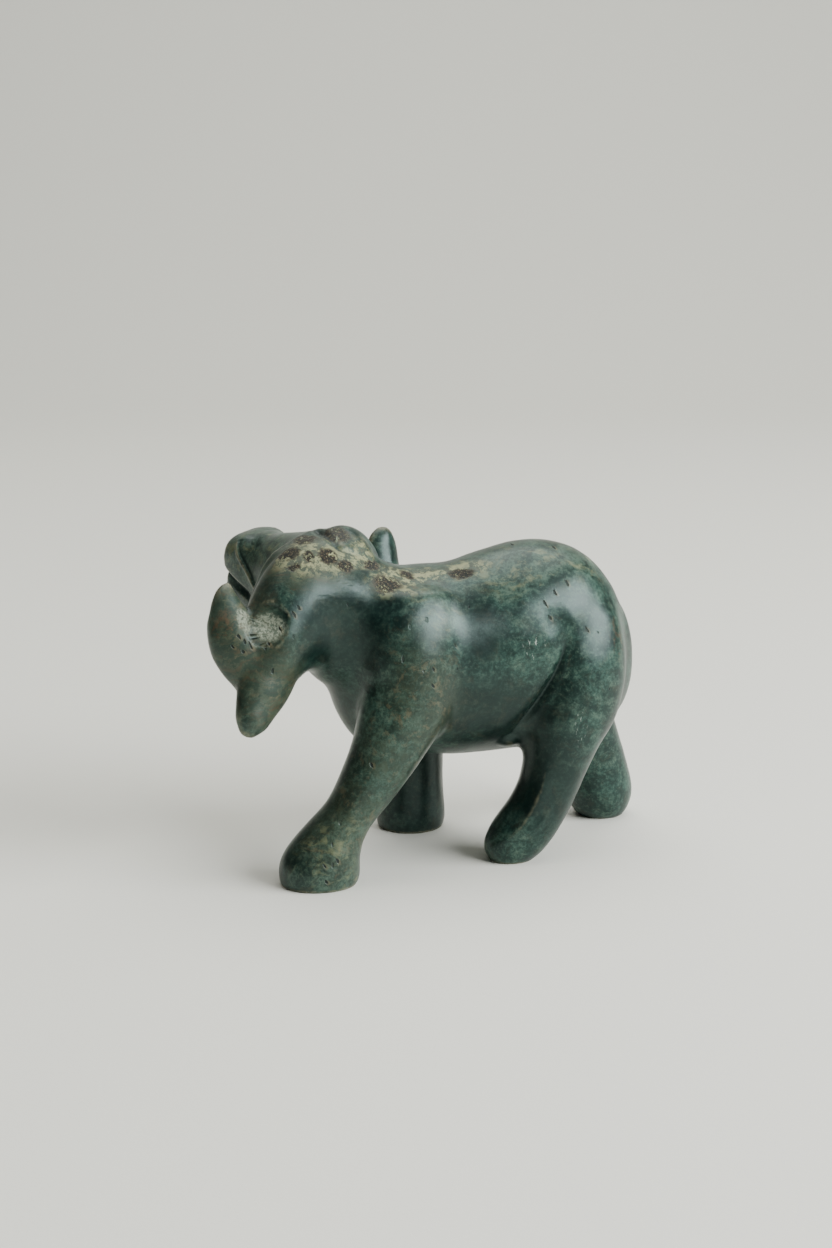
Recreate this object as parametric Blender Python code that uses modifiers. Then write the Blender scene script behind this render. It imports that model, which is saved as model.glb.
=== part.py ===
"""Buffalo figurine carved from one block of green stone, standing on its four feet.

The animal walks towards -X and looks back over its right shoulder, which is on +Y, so the
face lies on the far side and the back of the near horn is turned to -Y. Stations are in
millimetres above the ground and are turned into metres when the mesh is made.
"""

import bmesh
import bpy
import numpy as np
from mathutils import Vector

MM = 0.001
NAME = "buffalo"
TRIANGLES = 9000
STONE = {"Base Color": (0.05, 0.1, 0.08, 1.0), "Roughness": 0.3, "Metallic": 0.0}

# Head: where the groove between the horn bases lies, and how the head is turned.
BOSS_TOP = np.array([-39.0, 5.0, 92.0])
HEAD_TURN = 68.0
HEAD_ROLL = 9.0
NOSE_DROP = 10.0

# Stations: centre x, y, z, half-width along the first section axis, half-width along the other.
TRUNK = [
    (-38.5, 0.0, 62.0, 7.0, 11.5),
    (-34.2, 0.0, 59.4, 12.0, 19.8),
    (-29.0, 0.0, 57.2, 16.0, 24.3),
    (-22.0, 0.0, 56.7, 19.5, 25.2),
    (-12.0, 0.0, 55.5, 22.0, 26.7),
    (-2.0, 0.0, 55.0, 22.5, 27.3),
    (8.0, 0.0, 56.3, 22.5, 28.7),
    (18.0, 0.0, 57.7, 22.5, 29.5),
    (27.0, 0.0, 58.3, 21.8, 28.5),
    (35.0, 0.0, 57.5, 19.5, 26.5),
    (41.0, 0.0, 55.3, 16.3, 24.0),
    (45.0, 0.0, 53.3, 13.0, 20.7),
    (48.0, 0.0, 52.0, 9.5, 15.5),
]
NECK = [
    (-8.0, 0.0, 58.5, 19.0, 22.5),
    (-20.0, -0.5, 61.5, 18.5, 21.5),
    (-30.0, -1.0, 67.0, 17.0, 19.0),
    (-40.0, -2.5, 71.0, 15.5, 17.5),
    (-50.0, -6.0, 70.0, 12.0, 14.0),
]
NEAR_FORELEG = [
    (-18.0, -8.8, 74.0, 14.0, 9.8),
    (-18.0, -11.4, 67.0, 16.0, 11.0),
    (-18.0, -13.4, 60.0, 15.2, 11.2),
    (-18.8, -15.1, 52.0, 13.6, 10.9),
    (-24.0, -17.8, 41.0, 11.2, 9.7),
    (-28.8, -18.6, 32.0, 9.2, 8.9),
    (-33.4, -19.0, 24.8, 7.9, 8.2),
    (-38.2, -19.0, 18.0, 7.0, 7.8),
    (-42.2, -19.0, 12.0, 8.6, 8.4),
    (-44.8, -19.0, 6.5, 10.9, 9.7),
    (-46.0, -19.0, 2.5, 11.7, 10.1),
    (-46.0, -19.0, 0.5, 11.2, 9.9),
]
FAR_FORELEG = [
    (-8.0, 6.0, 62.0, 10.0, 8.0),
    (-10.0, 12.0, 52.0, 12.5, 9.5),
    (-9.2, 17.5, 40.0, 12.2, 9.5),
    (-7.8, 20.3, 30.0, 10.4, 9.2),
    (-7.0, 21.2, 20.0, 9.6, 9.0),
    (-7.0, 21.5, 10.0, 9.8, 9.4),
    (-7.0, 21.5, 4.0, 10.4, 10.0),
    (-7.0, 21.5, 0.5, 10.1, 9.7),
]
NEAR_HINDLEG = [
    (30.6, -9.4, 66.0, 13.5, 9.8),
    (31.4, -12.3, 55.0, 13.8, 11.1),
    (29.8, -13.9, 45.0, 13.4, 10.9),
    (26.6, -15.0, 37.0, 12.0, 10.2),
    (23.8, -16.0, 28.0, 9.6, 9.2),
    (21.2, -16.0, 20.0, 8.5, 8.6),
    (16.9, -16.0, 12.0, 8.4, 8.4),
    (11.2, -16.0, 5.6, 8.1, 8.2),
    (7.3, -16.0, 2.8, 6.6, 6.8),
    (5.4, -16.0, 1.6, 5.0, 5.2),
]
FAR_HINDLEG = [
    (32.0, 6.0, 56.0, 13.0, 10.0),
    (36.0, 11.0, 46.0, 13.0, 10.0),
    (41.5, 14.0, 34.0, 10.5, 9.2),
    (46.0, 14.8, 23.0, 9.3, 8.8),
    (49.0, 15.0, 12.0, 9.9, 9.2),
    (49.8, 15.0, 6.0, 10.1, 9.6),
    (49.2, 15.0, 1.5, 8.3, 8.1),
]
TAIL = [
    (42.4, 2.5, 76.0, 1.6, 1.6),
    (45.4, 3.0, 71.0, 2.0, 2.0),
    (48.2, 3.4, 65.0, 2.0, 2.0),
    (49.8, 3.8, 58.0, 1.9, 1.9),
    (50.2, 4.2, 50.0, 1.9, 1.9),
    (49.6, 4.6, 43.0, 2.5, 2.4),
    (48.4, 4.8, 38.5, 2.7, 2.6),
    (46.4, 5.0, 34.5, 1.4, 1.4),
]
# Head stations are measured from the boss: side (right is plus), forward, up.
SKULL = [
    (-2.6, -9.0, -14.2, 10.4, 12.2),
    (-0.5, 0.0, -14.0, 13.5, 14.0),
    (0.0, 9.0, -13.8, 12.8, 13.9),
    (0.0, 17.0, -12.6, 10.6, 12.8),
    (0.0, 24.0, -11.6, 9.4, 12.0),
    (0.0, 30.0, -9.4, 9.8, 11.2),
    (0.0, 35.4, -6.8, 9.4, 8.2),
]
LOWER_LIP = [
    (0.0, 20.0, -15.0, 9.0, 10.4),
    (0.0, 28.0, -16.0, 9.2, 9.6),
    (0.0, 38.0, -13.8, 9.2, 6.4),
]
NOSE_PAD = [
    (0.0, 28.6, -8.0, 9.2, 9.0),
    (0.0, 32.4, -7.0, 9.4, 8.8),
    (0.0, 35.8, -5.9, 9.2, 7.9),
]
NEAR_CHEEK = [
    (6.0, -4.0, -10.0, 9.0, 9.0),
    (-4.0, -4.0, -10.0, 10.0, 10.0),
    (-12.0, -4.0, -12.2, 11.0, 10.5),
    (-20.0, -4.0, -18.8, 11.0, 10.5),
    (-26.5, -3.5, -27.0, 10.3, 10.0),
    (-32.0, -2.0, -30.0, 8.0, 8.0),
]
NEAR_HORN = [
    (2.0, -0.9, -4.4, 6.5, 6.5),
    (-3.6, -0.9, -4.6, 6.5, 6.5),
    (-8.7, -0.9, -5.5, 6.5, 6.5),
    (-13.8, -0.9, -6.9, 6.5, 6.5),
    (-18.5, -0.9, -11.1, 6.5, 6.5),
    (-22.3, -0.9, -15.6, 6.5, 6.5),
    (-26.0, -0.9, -20.6, 6.2, 6.2),
]
NEAR_TIP = [
    (-30.0, -2.0, -28.0, 9.8, 7.5),
    (-34.0, -1.0, -20.0, 8.8, 7.0),
    (-34.7, -0.5, -16.0, 7.2, 6.0),
    (-34.3, 0.0, -12.6, 5.6, 4.6),
    (-33.7, 0.3, -9.3, 4.0, 3.4),
    (-32.6, 0.5, -6.6, 2.3, 2.1),
    (-31.7, 0.5, -5.2, 1.0, 0.9),
]
FAR_HORN = [
    (0.0, -3.0, -8.5, 8.5, 8.0),
    (4.5, -2.5, -7.6, 8.0, 8.0),
    (7.8, -1.5, -10.2, 7.5, 7.5),
    (10.5, 1.6, -16.5, 7.5, 8.4),
    (15.0, 4.5, -21.5, 7.8, 8.6),
    (20.0, 6.0, -23.5, 6.8, 7.4),
]
FAR_TIP = [
    (21.6, 5.3, -22.0, 6.0, 5.4),
    (22.4, 5.3, -17.0, 5.8, 4.2),
    (23.3, 5.3, -13.0, 5.6, 3.4),
    (24.1, 5.3, -10.3, 5.2, 3.0),
    (25.2, 5.3, -8.0, 4.3, 2.5),
    (26.0, 5.3, -6.6, 2.8, 1.8),
]
NEAR_EAR = [
    (-25.0, -4.0, -26.0, 9.0, 6.5),
    (-32.0, -5.0, -33.5, 8.2, 5.8),
    (-36.8, -5.5, -38.5, 6.3, 4.4),
    (-40.3, -6.0, -42.3, 4.4, 3.2),
    (-41.5, -6.0, -43.8, 2.8, 2.0),
]
FAR_EAR = [
    (20.0, 6.0, -26.0, 8.0, 5.0),
    (25.0, 11.0, -33.0, 8.0, 4.8),
    (28.0, 14.0, -39.0, 6.5, 4.2),
    (30.0, 15.5, -43.5, 3.6, 3.0),
    (31.0, 16.0, -45.5, 0.8, 0.8),
]
# Mouth and nostrils cut into the muzzle, on the head: right, forward, up, depth, reach.
MOUTH_SIDE = [
    (10.0, 25.5, -17.0, 0.0, 1.6),
    (10.0, 28.5, -14.8, 0.8, 2.2),
    (9.8, 32.5, -11.4, 1.2, 2.4),
    (9.0, 37.0, -8.4, 1.3, 2.4),
    (8.0, 41.0, -7.4, 1.2, 2.4),
]
MOUTH_FRONT = [
    (-9.0, 42.0, -7.4, 0.9, 2.2),
    (0.0, 43.0, -7.0, 0.9, 2.2),
    (9.0, 42.0, -7.4, 0.9, 2.2),
]
NOSTRIL = [
    (4.2, 42.0, -3.4, 0.9, 1.8),
    (5.6, 42.0, -2.4, 0.9, 1.8),
]
# A low dome for the eye on each side of the head: centre, then its half-widths.
EYE = [
    (11.3, 9.0, -6.5, 2.0, 2.0),
    (11.3, 11.2, -6.5, 2.0, 2.0),
]
# Crease in front of the near thigh: centre x, y, z, depth, reach.
THIGH_CREASE = [
    (24.6, -22.0, 65.0, 0.0, 3.5),
    (23.6, -22.0, 60.5, 0.8, 5.0),
    (21.4, -22.0, 54.5, 1.3, 5.5),
    (17.4, -22.0, 47.2, 1.6, 5.5),
    (12.8, -22.0, 40.0, 1.3, 5.0),
    (9.0, -22.0, 34.5, 0.0, 3.0),
]
# The same on the plainer far side.
FAR_THIGH_CREASE = [
    (20.0, 24.0, 65.0, 0.0, 3.5),
    (19.6, 24.0, 58.0, 0.8, 5.0),
    (20.6, 24.0, 50.0, 1.2, 5.2),
    (24.2, 24.0, 42.0, 1.1, 5.0),
    (29.5, 24.0, 35.5, 0.0, 3.5),
]
# Soft hollows on the near side of the neck, behind the shoulder and above the thigh, laid out the same way.
NECK_HOLLOW = [
    (-37.0, -22.0, 84.0, 0.0, 8.0),
    (-37.0, -22.0, 78.0, 0.9, 10.0),
    (-37.5, -22.0, 72.0, 1.8, 10.5),
    (-37.0, -22.0, 64.0, 1.8, 10.0),
    (-36.0, -22.0, 57.0, 0.9, 9.0),
    (-35.0, -22.0, 50.0, 0.0, 8.0),
]
SHOULDER_HOLLOW = [
    (2.0, -22.0, 80.0, 0.0, 10.0),
    (1.5, -22.0, 74.0, 0.2, 12.0),
    (0.5, -22.0, 68.0, 0.3, 13.0),
    (-1.5, -22.0, 59.0, 0.4, 12.0),
    (-5.0, -22.0, 50.0, 0.0, 9.0),
]
HAUNCH_HOLLOW = [
    (19.5, -22.0, 73.0, 0.0, 4.0),
    (21.0, -22.0, 69.5, 0.5, 5.0),
    (23.4, -22.0, 65.0, 0.8, 5.0),
    (23.8, -22.0, 61.0, 0.5, 4.5),
    (22.6, -22.0, 57.0, 0.0, 4.0),
]


def spread(rows, count):
    """Carries the stations smoothly onto count even steps: a cubic through each, sloped by its neighbours."""
    rows = np.array(rows, float)
    at = np.concatenate([[0.0], np.cumsum(np.linalg.norm(np.diff(rows[:, :3], axis=0), axis=1))])
    slope = np.gradient(rows, at, axis=0)
    step = np.linspace(0.0, at[-1], count)
    first = np.clip(np.searchsorted(at, step, side="right") - 1, 0, len(at) - 2)
    gap = (at[first + 1] - at[first])[:, None]
    k = (step - at[first])[:, None] / gap
    return (
        (1 + 2 * k) * (1 - k) ** 2 * rows[first]
        + k * (1 - k) ** 2 * gap * slope[first]
        + k**2 * (3 - 2 * k) * rows[first + 1]
        + k**2 * (k - 1) * gap * slope[first + 1]
    )


def unit(vectors):
    return vectors / np.linalg.norm(vectors, axis=-1, keepdims=True)


def loft(rows, across, facing=None, power=2.0, edge=0.0, count=44, sides=36, cap=0.6):
    """Rings of a closed skin, domed at both ends: square to the path or to facing, each ring is a superellipse.

    With edge at 1 the ring is a teardrop, its corner towards across.
    """
    path = spread(rows, count)
    along = unit(np.gradient(path[:, :3], axis=0)) if facing is None else np.tile(facing, (count, 1))
    wide = unit(across - (along @ across)[:, None] * along)
    tall = np.cross(along, wide)
    dome = np.linspace(np.pi / 2, 0.0, 7)[:-1]
    centre, half, wides, talls = [path[:, :3]], [path[:, 3:]], [wide], [tall]
    for end, sign in ((0, -1.0), (-1, 1.0)):
        reach = cap * path[end, 3:].min()
        turn = dome if end == 0 else dome[::-1]
        rings = path[end, :3] + sign * reach * np.sin(turn)[:, None] * along[end]
        sizes = np.cos(turn)[:, None] * path[end, 3:] + 0.01
        at = 0 if end == 0 else len(centre)
        centre.insert(at, rings)
        half.insert(at, sizes)
        wides.insert(at, np.repeat(wide[end][None], len(turn), 0))
        talls.insert(at, np.repeat(tall[end][None], len(turn), 0))
    centre, half, wides, talls = (np.concatenate(part) for part in (centre, half, wides, talls))
    angle = np.linspace(0.0, 2 * np.pi, sides, endpoint=False)
    c = np.sign(np.cos(angle)) * np.abs(np.cos(angle)) ** (2 / power)
    s = np.sign(np.sin(angle)) * np.abs(np.sin(angle)) ** (2 / power)
    s = s * np.abs(np.sin(angle / 2)) ** edge
    skin = (
        centre[:, None]
        + c[None, :, None] * half[:, :1, None] * wides[:, None]
        + s[None, :, None] * half[:, 1:, None] * talls[:, None]
    )
    return skin


def solid(name, skins):
    """One mesh object holding each skin as a closed tube with flat ends."""
    work = bmesh.new()
    for skin in skins:
        rings, sides = skin.shape[:2]
        verts = [[work.verts.new(point * MM) for point in ring] for ring in skin]
        for ring in range(rings - 1):
            for side in range(sides):
                nxt = (side + 1) % sides
                work.faces.new((verts[ring][side], verts[ring][nxt], verts[ring + 1][nxt], verts[ring + 1][side]))
        work.faces.new(verts[0][::-1])
        work.faces.new(verts[-1])
    bmesh.ops.recalc_face_normals(work, faces=work.faces)
    mesh = bpy.data.meshes.new(name)
    work.to_mesh(mesh)
    work.free()
    obj = bpy.data.objects.new(name, mesh)
    bpy.context.scene.collection.objects.link(obj)
    return obj


def fused(name, objects, voxel, passes):
    """Joins objects into one skin on a grid of voxels, then smooths it: the blend between forms grows with passes."""
    work = bmesh.new()
    for obj in objects:
        work.from_mesh(obj.data)
        bpy.data.objects.remove(obj)
    mesh = bpy.data.meshes.new(name)
    work.to_mesh(mesh)
    work.free()
    obj = bpy.data.objects.new(name, mesh)
    bpy.context.scene.collection.objects.link(obj)
    remesh = obj.modifiers.new("One skin", "REMESH")
    remesh.mode = "VOXEL"
    remesh.voxel_size = voxel * MM
    if passes:
        smooth = obj.modifiers.new("Rubbed down", "SMOOTH")
        smooth.factor = 0.5
        smooth.iterations = passes
    done = bpy.data.meshes.new_from_object(obj.evaluated_get(bpy.context.evaluated_depsgraph_get()))
    obj.modifiers.clear()
    obj.data = done
    return obj


def nape_share(obj):
    """How far each vertex lies on the back of the head, from 0 to 1."""
    right, forward, up = head_axes()
    points = np.array([vert.co for vert in obj.data.vertices]) / MM - BOSS_TOP
    behind = np.clip((-1.0 - points @ forward) / 4.0, 0.0, 1.0)
    above = np.clip((points @ up + 32.0) / 4.0, 0.0, 1.0)
    beside = np.clip((6.0 - points @ right) / 6.0, 0.0, 1.0)
    return behind * above * beside


def rub_down(obj, share, passes):
    """Smooths an object in place, each vertex by its own share."""
    group = obj.vertex_groups.new(name="Rubbed down")
    for level in np.unique(np.round(share, 1)):
        found = np.nonzero(np.round(share, 1) == level)[0]
        group.add(found.tolist(), float(level), "REPLACE")
    smooth = obj.modifiers.new("Rubbed down", "SMOOTH")
    smooth.factor = 0.5
    smooth.iterations = passes
    smooth.vertex_group = group.name
    done = bpy.data.meshes.new_from_object(obj.evaluated_get(bpy.context.evaluated_depsgraph_get()))
    obj.modifiers.clear()
    obj.data = done


def creased(obj, rows, inward, bend=1.0):
    """Presses a line into the surface facing away from inward, its stations x, y, z, depth and reach.

    Depth falls off as (1 - (distance / reach)^bend)^2: a crease with bend at 1, a soft hollow with 2.
    """
    line = spread(rows, 60)
    points = np.array([vert.co for vert in obj.data.vertices]) / MM
    facing = np.array([vert.normal for vert in obj.data.vertices]) @ inward
    apart = points[:, None] - line[None, :, :3]
    apart = apart - (apart @ inward)[:, :, None] * inward
    gap = np.linalg.norm(apart, axis=2)
    nearest = gap.argmin(axis=1)
    fall = np.clip(1.0 - (gap.min(axis=1) / line[nearest, 4]) ** bend, 0.0, 1.0) ** 2
    moved = points + (line[nearest, 3] * fall * np.clip(-2.0 * facing, 0.0, 1.0))[:, None] * inward
    obj.data.vertices.foreach_set("co", (moved * MM).ravel())
    obj.data.update()


def flatten(obj):
    """Cuts the soles flat on the ground."""
    work = bmesh.new()
    work.from_mesh(obj.data)
    bmesh.ops.bisect_plane(
        work, geom=work.verts[:] + work.edges[:] + work.faces[:], plane_co=(0, 0, 0), plane_no=(0, 0, -1),
        clear_outer=True,
    )
    for vert in work.verts:
        if vert.is_boundary:
            vert.co.z = 0.0
    bmesh.ops.remove_doubles(work, verts=work.verts, dist=0.05 * MM)
    bmesh.ops.holes_fill(work, edges=[edge for edge in work.edges if edge.is_boundary])
    bmesh.ops.triangulate(work, faces=work.faces, ngon_method="EAR_CLIP")
    work.to_mesh(obj.data)
    work.free()
    obj.data.shade_smooth()


def thin_out(obj):
    """Leaves about TRIANGLES triangles, the most where the form turns fastest."""
    thin = obj.modifiers.new("Fewer faces", "DECIMATE")
    thin.ratio = TRIANGLES / (2 * len(obj.data.polygons))
    done = bpy.data.meshes.new_from_object(obj.evaluated_get(bpy.context.evaluated_depsgraph_get()))
    obj.modifiers.clear()
    obj.data = done


def to_own_frame(obj):
    """Puts the origin on the ground under the middle of the figurine's box."""
    points = np.array([vert.co for vert in obj.data.vertices])
    low, high = points.min(axis=0), points.max(axis=0)
    middle = Vector(((low[0] + high[0]) / 2, (low[1] + high[1]) / 2, 0.0))
    for vert in obj.data.vertices:
        vert.co -= middle


def stone():
    """Polished dark green stone."""
    material = bpy.data.materials.new("green_stone")
    material.use_nodes = True
    shader = material.node_tree.nodes["Principled BSDF"]
    for name, value in STONE.items():
        shader.inputs[name].default_value = value
    return material


def head_axes():
    """The head's own right, forward and up, after its turn, roll and drop of the nose."""
    turn, roll, drop = np.radians([HEAD_TURN, HEAD_ROLL, NOSE_DROP])
    ahead = np.array([-np.cos(turn), np.sin(turn), 0.0])
    level = np.array([np.sin(turn), np.cos(turn), 0.0])
    upright = np.array([0.0, 0.0, 1.0])
    right = level * np.cos(roll) + upright * np.sin(roll)
    crown = upright * np.cos(roll) - level * np.sin(roll)
    forward = ahead * np.cos(drop) - crown * np.sin(drop)
    up = crown * np.cos(drop) + ahead * np.sin(drop)
    return right, forward, up


def on_head(rows):
    right, forward, up = head_axes()
    rows = np.array(rows)
    centre = BOSS_TOP + rows[:, :1] * right + rows[:, 1:2] * forward + rows[:, 2:3] * up
    return np.hstack([centre, rows[:, 3:]])


def main():
    for obj in list(bpy.data.objects):
        bpy.data.objects.remove(obj)
    x_axis, y_axis, z_axis = np.eye(3)
    right, forward, up = head_axes()
    body = solid("body", [
        loft(TRUNK, y_axis, facing=x_axis, cap=0.35),
        loft(NECK, y_axis),
        loft_horn(NEAR_CHEEK, forward),
        loft(NEAR_FORELEG, x_axis, cap=0.4),
        loft(FAR_FORELEG, x_axis, cap=0.4),
        loft(NEAR_HINDLEG, x_axis, cap=0.4),
        loft(FAR_HINDLEG, x_axis, cap=0.4),
    ])
    body = fused("body", [body], 1.2, 24)
    head = solid("head", [
        loft(on_head(SKULL), right, cap=0.35),
        loft(on_head(LOWER_LIP), right),
        loft(on_head(NOSE_PAD), right, power=3.0, cap=0.35),
        loft(on_head(NEAR_HORN), 0.6 * forward + 0.8 * up, edge=1.0, sides=60),
        loft_horn(NEAR_TIP, forward),
        loft_horn(FAR_HORN, forward),
        loft_horn(FAR_TIP, forward, 1.5),
        loft_horn(NEAR_EAR, forward),
        loft_horn(FAR_EAR, forward),
        loft(TAIL, y_axis),
    ] + [loft(on_head(mirrored(EYE, side)), up) for side in (-1.0, 1.0)])
    head = fused("head", [head], 0.8, 4)
    whole = fused(NAME, [body, head], 0.8, 5)
    rub_down(whole, nape_share(whole), 24)
    for side in (-1.0, 1.0):
        creased(whole, on_head(mirrored(MOUTH_SIDE, side)), -side * right)
        creased(whole, on_head(mirrored(NOSTRIL, side)), -forward)
    creased(whole, on_head(MOUTH_FRONT), -forward)
    creased(whole, THIGH_CREASE, y_axis)
    creased(whole, FAR_THIGH_CREASE, -y_axis)
    for hollow in (NECK_HOLLOW, SHOULDER_HOLLOW, HAUNCH_HOLLOW):
        creased(whole, hollow, y_axis, 2.0)
    thin_out(whole)
    flatten(whole)
    to_own_frame(whole)
    whole.data.materials.append(stone())
    place = bpy.data.collections.new(NAME)
    bpy.context.scene.collection.children.link(place)
    bpy.context.scene.collection.objects.unlink(whole)
    place.objects.link(whole)
    return whole


def mirrored(rows, side):
    """Head stations as they are with side at 1, or carried to the other side of the head with -1."""
    return np.array(rows) * (side, 1.0, 1.0, 1.0, 1.0)


def loft_horn(rows, forward, power=1.8):
    """A horn or ear: first half-width in the plane of the crescent, the second front to back."""
    flipped = np.array(rows)[:, [0, 1, 2, 4, 3]]
    return loft(on_head(flipped), forward, power=power)


if __name__ == "__main__":
    main()
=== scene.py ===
"""Stone buffalo figurine: one block of polished green stone, carved, on a pale table.

The stone is shaped in the carver's frame, in millimetres: the animal walks towards -X and
looks back over its right shoulder, which is on +Y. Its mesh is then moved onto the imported
solid and turned into metres.
"""

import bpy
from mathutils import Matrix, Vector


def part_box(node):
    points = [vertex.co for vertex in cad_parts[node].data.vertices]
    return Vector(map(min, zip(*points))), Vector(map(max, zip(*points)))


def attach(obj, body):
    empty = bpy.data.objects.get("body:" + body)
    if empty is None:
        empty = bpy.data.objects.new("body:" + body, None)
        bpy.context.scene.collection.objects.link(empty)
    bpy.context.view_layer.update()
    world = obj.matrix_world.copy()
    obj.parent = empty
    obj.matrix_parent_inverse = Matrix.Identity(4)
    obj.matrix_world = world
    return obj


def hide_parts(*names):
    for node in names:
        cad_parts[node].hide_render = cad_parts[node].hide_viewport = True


bl_info = {
    "name": "Stone buffalo figurine",
    "version": (1, 0, 0),
    "blender": (4, 5, 0),
    "location": "3D View > Sidebar > Figurine",
    "description": "Carves a walking buffalo that looks back, in pitted green stone",
    "category": "Add Mesh",
}

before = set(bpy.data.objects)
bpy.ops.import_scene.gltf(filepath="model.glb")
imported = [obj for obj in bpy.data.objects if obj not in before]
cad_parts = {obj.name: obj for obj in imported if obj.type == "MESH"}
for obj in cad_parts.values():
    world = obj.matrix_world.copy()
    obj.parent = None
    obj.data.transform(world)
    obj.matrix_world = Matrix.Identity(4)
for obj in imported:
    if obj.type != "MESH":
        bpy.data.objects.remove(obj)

import bmesh
import bpy
import numpy as np
from mathutils import Vector, noise

MM = 0.001
NODE = "buffalo"
TRIANGLES = 190000
PIECE = "carved_buffalo"
LOW, HIGH = (np.array(corner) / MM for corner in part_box(NODE))

# Head: where the groove between the horn bases lies, and how the head is turned.
BOSS_TOP = np.array([-39.0, 5.0, 92.0])
HEAD_TURN = 68.0
HEAD_ROLL = 9.0
NOSE_DROP = 10.0
X_AXIS, Y_AXIS, Z_AXIS = np.eye(3)


def linear(red, green, blue):
    """A display colour, 0 to 255, as the linear colour that a shader takes."""
    part = np.array([red, green, blue]) / 255.0
    part = np.where(part < 0.04045, part / 12.92, ((part + 0.055) / 1.055) ** 2.4)
    return (*part.tolist(), 1.0)


# Stations: centre x, y, z, half-width along the first section axis, half-width along the other.
TRUNK = [
    (-38.5, 0.0, 62.0, 7.0, 11.5),
    (-34.2, 0.0, 59.4, 12.0, 19.8),
    (-29.0, 0.0, 57.2, 16.0, 24.3),
    (-22.0, 0.0, 56.7, 19.5, 25.2),
    (-12.0, 0.0, 55.5, 22.0, 26.7),
    (-2.0, 0.0, 55.0, 22.5, 27.3),
    (8.0, 0.0, 56.3, 22.5, 28.7),
    (18.0, 0.0, 57.7, 22.5, 29.5),
    (27.0, 0.0, 58.3, 21.8, 28.5),
    (35.0, 0.0, 57.5, 19.5, 26.5),
    (41.0, 0.0, 55.3, 16.3, 24.0),
    (45.0, 0.0, 53.3, 13.0, 20.7),
    (48.0, 0.0, 52.0, 9.5, 15.5),
]
NECK = [
    (-8.0, 0.0, 58.5, 19.0, 22.5),
    (-20.0, -0.5, 61.5, 18.5, 21.5),
    (-30.0, -1.0, 67.0, 17.0, 19.0),
    (-40.0, -2.5, 71.0, 15.5, 17.5),
    (-50.0, -6.0, 70.0, 12.0, 14.0),
]
NEAR_FORELEG = [
    (-18.0, -8.8, 74.0, 14.0, 9.8),
    (-18.0, -11.4, 67.0, 16.0, 11.0),
    (-18.0, -13.4, 60.0, 15.2, 11.2),
    (-18.8, -15.1, 52.0, 13.6, 10.9),
    (-24.0, -17.8, 41.0, 11.2, 9.7),
    (-28.8, -18.6, 32.0, 9.2, 8.9),
    (-33.4, -19.0, 24.8, 7.9, 8.2),
    (-38.2, -19.0, 18.0, 7.0, 7.8),
    (-42.2, -19.0, 12.0, 8.6, 8.4),
    (-44.8, -19.0, 6.5, 10.9, 9.7),
    (-46.0, -19.0, 2.5, 11.7, 10.1),
    (-46.0, -19.0, 0.5, 11.2, 9.9),
]
FAR_FORELEG = [
    (-8.0, 6.0, 62.0, 10.0, 8.0),
    (-10.0, 12.0, 52.0, 12.5, 9.5),
    (-9.2, 17.5, 40.0, 12.2, 9.5),
    (-7.8, 20.3, 30.0, 10.4, 9.2),
    (-7.0, 21.2, 20.0, 9.6, 9.0),
    (-7.0, 21.5, 10.0, 9.8, 9.4),
    (-7.0, 21.5, 4.0, 10.4, 10.0),
    (-7.0, 21.5, 0.5, 10.1, 9.7),
]
NEAR_HINDLEG = [
    (30.6, -9.4, 66.0, 13.5, 9.8),
    (31.4, -12.3, 55.0, 13.8, 11.1),
    (29.8, -13.9, 45.0, 13.4, 10.9),
    (26.6, -15.0, 37.0, 12.0, 10.2),
    (23.8, -16.0, 28.0, 9.6, 9.2),
    (21.2, -16.0, 20.0, 8.5, 8.6),
    (16.9, -16.0, 12.0, 8.4, 8.4),
    (11.2, -16.0, 5.6, 8.1, 8.2),
    (7.3, -16.0, 2.8, 6.6, 6.8),
    (5.4, -16.0, 1.6, 5.0, 5.2),
]
FAR_HINDLEG = [
    (32.0, 6.0, 56.0, 13.0, 10.0),
    (36.0, 11.0, 46.0, 13.0, 10.0),
    (41.5, 14.0, 34.0, 10.5, 9.2),
    (46.0, 14.8, 23.0, 9.3, 8.8),
    (49.0, 15.0, 12.0, 9.9, 9.2),
    (49.8, 15.0, 6.0, 10.1, 9.6),
    (49.2, 15.0, 1.5, 8.3, 8.1),
]
TAIL = [
    (42.4, 2.5, 76.0, 1.6, 1.6),
    (45.4, 3.0, 71.0, 2.0, 2.0),
    (48.2, 3.4, 65.0, 2.0, 2.0),
    (49.8, 3.8, 58.0, 1.9, 1.9),
    (50.2, 4.2, 50.0, 1.9, 1.9),
    (49.6, 4.6, 43.0, 2.5, 2.4),
    (48.4, 4.8, 38.5, 2.7, 2.6),
    (46.4, 5.0, 34.5, 1.4, 1.4),
]
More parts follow.
